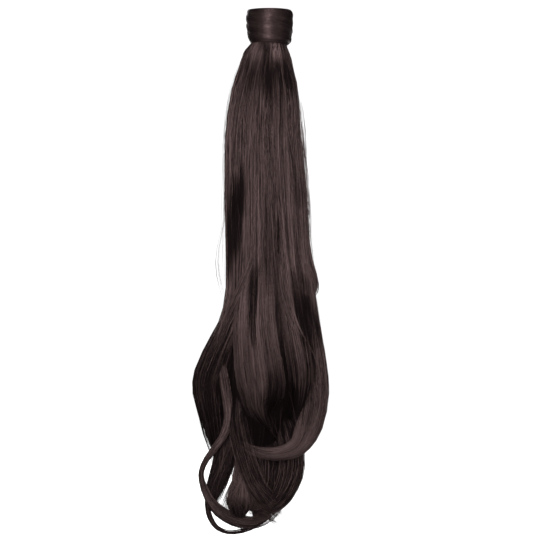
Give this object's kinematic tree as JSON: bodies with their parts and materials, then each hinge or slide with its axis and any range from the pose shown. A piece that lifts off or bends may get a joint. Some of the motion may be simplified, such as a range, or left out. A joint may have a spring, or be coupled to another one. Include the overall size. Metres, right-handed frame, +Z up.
{
  "type": "ponytail hairpiece",
  "caption": "Long waved ponytail hairpiece: a hollow collar of wound hair over a sewn band with a hidden comb, and a hanging tail of curled locks.",
  "frame": {"origin": "centre of the collar's top rim, where the piece sits over the wearer's gathered hair", "axes": "+Z up, out of the collar's mouth; the tail hangs along -Z; the front of the hairpiece faces -Y; +X to the right as seen from the front"},
  "size_m": [0.1443, 0.1087, 0.5595],
  "materials": {
    "woven_band": "matt black-brown woven tape",
    "comb_plastic": "moulded black-brown plastic, slightly glossy",
    "root_hair": "dark brown hair, turned over and sewn",
    "wound_hair": "dark brown hair laid side by side, soft gloss",
    "hanging_hair": "dark brown hair in loose waves, soft gloss"
  },
  "bodies": {
    "root": {"base_band": "woven_band", "comb": "comb_plastic", "weft_roots": "root_hair", "wrap": "wound_hair", "tail": "hanging_hair"}
  },
  "joints": []
}
